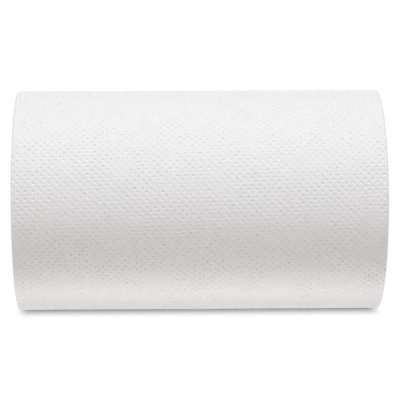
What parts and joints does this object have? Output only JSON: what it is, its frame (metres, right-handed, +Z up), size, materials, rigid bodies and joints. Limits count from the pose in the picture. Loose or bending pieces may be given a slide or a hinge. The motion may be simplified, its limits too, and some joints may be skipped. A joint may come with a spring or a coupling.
{
  "type": "paper towel roll",
  "caption": "Hard-wound roll of white embossed paper towel on a plain paperboard core, lying on its side, with the free end of its last turn at the back.",
  "frame": {"origin": "middle of the flat spot that the roll lies on", "axes": "+X along the roll's axis, +Y towards the back, where the free end of the web is, +Z up"},
  "size_m": [0.2, 0.1226, 0.1221],
  "materials": {
    "towel_paper": "matt white tissue with a small recessed dimple pattern",
    "core_board": "uncoated spiral-wound board"
  },
  "bodies": {
    "root": {"towel_web": "towel_paper", "core_tube": "core_board"}
  },
  "joints": []
}
